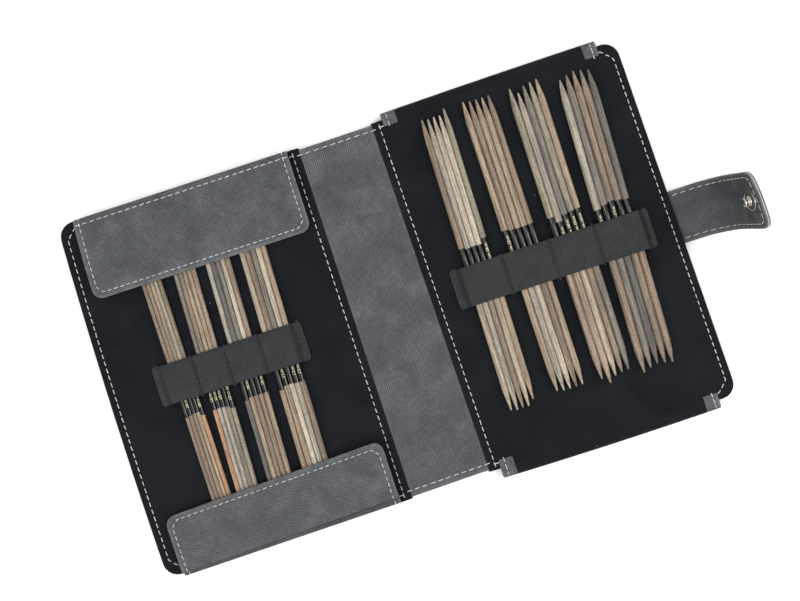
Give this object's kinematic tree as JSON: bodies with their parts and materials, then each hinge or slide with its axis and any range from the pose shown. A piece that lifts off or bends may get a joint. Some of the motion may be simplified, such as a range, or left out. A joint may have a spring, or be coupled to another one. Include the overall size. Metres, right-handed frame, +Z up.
{
  "type": "needle case",
  "caption": "Folding case for double-pointed knitting needles: two stiffened covers on a flat spine, stitched needle bands, fold-over flaps, and a strap with a snap.",
  "frame": {"origin": "middle of the open case's footprint, on the table it lies on", "axes": "+X across the open case from the left cover to the right cover and its strap, +Y from the bottom edge to the top edge, +Z up from the table"},
  "size_m": [0.3256, 0.1892, 0.0485],
  "materials": {
    "grey_leather": "grey polyurethane leather with a fine diagonal denim-like grain, matt with cloudy mottling",
    "black_suede": "near-black brushed suede lining",
    "black_leatherette": "soft black leatherette with a fine grain",
    "stiffener_board": "grey-brown bookbinding board",
    "laminated_birch": "laminated birch in grey and tan layers, satin varnish, with a glossy black middle",
    "nickel_snap": "nickel-plated, bright"
  },
  "bodies": {
    "spine": {"spine_skin": "grey_leather", "spine_board": "stiffener_board", "spine_strip": "grey_leather", "spine_lining_edge_left": "black_suede", "spine_lining_edge_right": "black_suede"},
    "left_cover": {"left_skin": "grey_leather", "left_board": "stiffener_board", "left_lining": "black_suede", "left_band": "black_leatherette", "snap_socket": "nickel_snap"},
    "right_cover": {"right_skin": "grey_leather", "right_board": "stiffener_board", "right_lining": "black_suede", "right_band": "black_leatherette", "strap_anchor": "grey_leather"},
    "strap": {"strap_inner": "grey_leather", "strap_outer": "grey_leather"},
    "strap_tip": {"strap_tip_inner": "grey_leather", "strap_tip_outer": "grey_leather", "snap_cap": "nickel_snap", "snap_stud": "nickel_snap"},
    "left_top_flap_root": {"left_top_flap_root": "grey_leather"},
    "left_top_flap": {"left_top_flap_outer": "grey_leather", "left_top_flap_lining": "black_suede"},
    "left_bottom_flap_root": {"left_bottom_flap_root": "grey_leather"},
    "left_bottom_flap": {"left_bottom_flap_outer": "grey_leather", "left_bottom_flap_lining": "black_suede"},
    "right_top_flap_root": {"right_top_flap_root": "grey_leather"},
    "right_top_flap": {"right_top_flap_outer": "grey_leather", "right_top_flap_lining": "black_suede"},
    "right_bottom_flap_root": {"right_bottom_flap_root": "grey_leather"},
    "right_bottom_flap": {"right_bottom_flap_outer": "grey_leather", "right_bottom_flap_lining": "black_suede"},
    "left_needles_1": {"left_needles_1": "laminated_birch"},
    "left_needles_2": {"left_needles_2": "laminated_birch"},
    "left_needles_3": {"left_needles_3": "laminated_birch"},
    "left_needles_4": {"left_needles_4": "laminated_birch"},
    "right_needles_1": {"right_needles_1": "laminated_birch"},
    "right_needles_2": {"right_needles_2": "laminated_birch"},
    "right_needles_3": {"right_needles_3": "laminated_birch"},
    "right_needles_4": {"right_needles_4": "laminated_birch"}
  },
  "joints": [
    {"name": "left_fold", "type": "hinge", "parent": "spine", "child": "left_cover", "pos_m": [-0.03579, 0, 0.0055], "axis": [0, 1, 0], "range_deg": [0, 95]},
    {"name": "right_fold", "type": "hinge", "parent": "spine", "child": "right_cover", "pos_m": [0.00921, 0, 0.0055], "axis": [0, -1, 0], "range_deg": [0, 95]},
    {"name": "left_top_flap_turn", "type": "hinge", "parent": "left_cover", "child": "left_top_flap_root", "pos_m": [-0.09609, 0.09395, 0.00537], "axis": [-1, 0, 0], "range_deg": [0, 179]},
    {"name": "left_top_flap_fold", "type": "hinge", "parent": "left_top_flap_root", "child": "left_top_flap", "pos_m": [-0.09609, 0.09395, 0.0098], "axis": [-1, 0, 0], "range_deg": [0, 179]},
    {"name": "left_bottom_flap_turn", "type": "hinge", "parent": "left_cover", "child": "left_bottom_flap_root", "pos_m": [-0.09609, -0.09395, 0.00537], "axis": [1, 0, 0], "range_deg": [0, 179]},
    {"name": "left_bottom_flap_fold", "type": "hinge", "parent": "left_bottom_flap_root", "child": "left_bottom_flap", "pos_m": [-0.09609, -0.09395, 0.0098], "axis": [1, 0, 0], "range_deg": [0, 179]},
    {"name": "right_top_flap_turn", "type": "hinge", "parent": "right_cover", "child": "right_top_flap_root", "pos_m": [0.06951, 0.09395, 0.00588], "axis": [-1, 0, 0], "range_deg": [-179, 0]},
    {"name": "right_top_flap_fold", "type": "hinge", "parent": "right_top_flap_root", "child": "right_top_flap", "pos_m": [0.06951, 0.09395, 0.00095], "axis": [-1, 0, 0], "range_deg": [-179, 0]},
    {"name": "right_bottom_flap_turn", "type": "hinge", "parent": "right_cover", "child": "right_bottom_flap_root", "pos_m": [0.06951, -0.09395, 0.00588], "axis": [1, 0, 0], "range_deg": [-179, 0]},
    {"name": "right_bottom_flap_fold", "type": "hinge", "parent": "right_bottom_flap_root", "child": "right_bottom_flap", "pos_m": [0.06951, -0.09395, 0.00095], "axis": [1, 0, 0], "range_deg": [-179, 0]},
    {"name": "strap_lift", "type": "hinge", "parent": "right_cover", "child": "strap", "pos_m": [0.13761, 0.0005, 0.0027], "axis": [0, -1, 0], "range_deg": [-20, 37.5]},
    {"name": "strap_bend", "type": "hinge", "parent": "strap", "child": "strap_tip", "pos_m": [0.16012, 0.0005, 0.02652], "axis": [0, -1, 0], "range_deg": [-45, 43.3]},
    {"name": "left_needles_1_slide", "type": "slide", "parent": "left_cover", "child": "left_needles_1", "axis": [0, 1, 0], "range_m": [-0.0025, 0.024]},
    {"name": "left_needles_2_slide", "type": "slide", "parent": "left_cover", "child": "left_needles_2", "axis": [0, 1, 0], "range_m": [-0.0025, 0.024]},
    {"name": "left_needles_3_slide", "type": "slide", "parent": "left_cover", "child": "left_needles_3", "axis": [0, 1, 0], "range_m": [-0.0025, 0.024]},
    {"name": "left_needles_4_slide", "type": "slide", "parent": "left_cover", "child": "left_needles_4", "axis": [0, 1, 0], "range_m": [-0.0025, 0.024]},
    {"name": "right_needles_1_slide", "type": "slide", "parent": "right_cover", "child": "right_needles_1", "axis": [0, 1, 0], "range_m": [-0.022, 0.085]},
    {"name": "right_needles_2_slide", "type": "slide", "parent": "right_cover", "child": "right_needles_2", "axis": [0, 1, 0], "range_m": [-0.022, 0.085]},
    {"name": "right_needles_3_slide", "type": "slide", "parent": "right_cover", "child": "right_needles_3", "axis": [0, 1, 0], "range_m": [-0.022, 0.085]},
    {"name": "right_needles_4_slide", "type": "slide", "parent": "right_cover", "child": "right_needles_4", "axis": [0, 1, 0], "range_m": [-0.022, 0.085]}
  ],
  "couplings": [
    {"joint": "left_top_flap_fold", "follows": "left_top_flap_turn", "ratio": 1},
    {"joint": "left_bottom_flap_fold", "follows": "left_bottom_flap_turn", "ratio": 1},
    {"joint": "right_top_flap_fold", "follows": "right_top_flap_turn", "ratio": 1},
    {"joint": "right_bottom_flap_fold", "follows": "right_bottom_flap_turn", "ratio": 1}
  ]
}
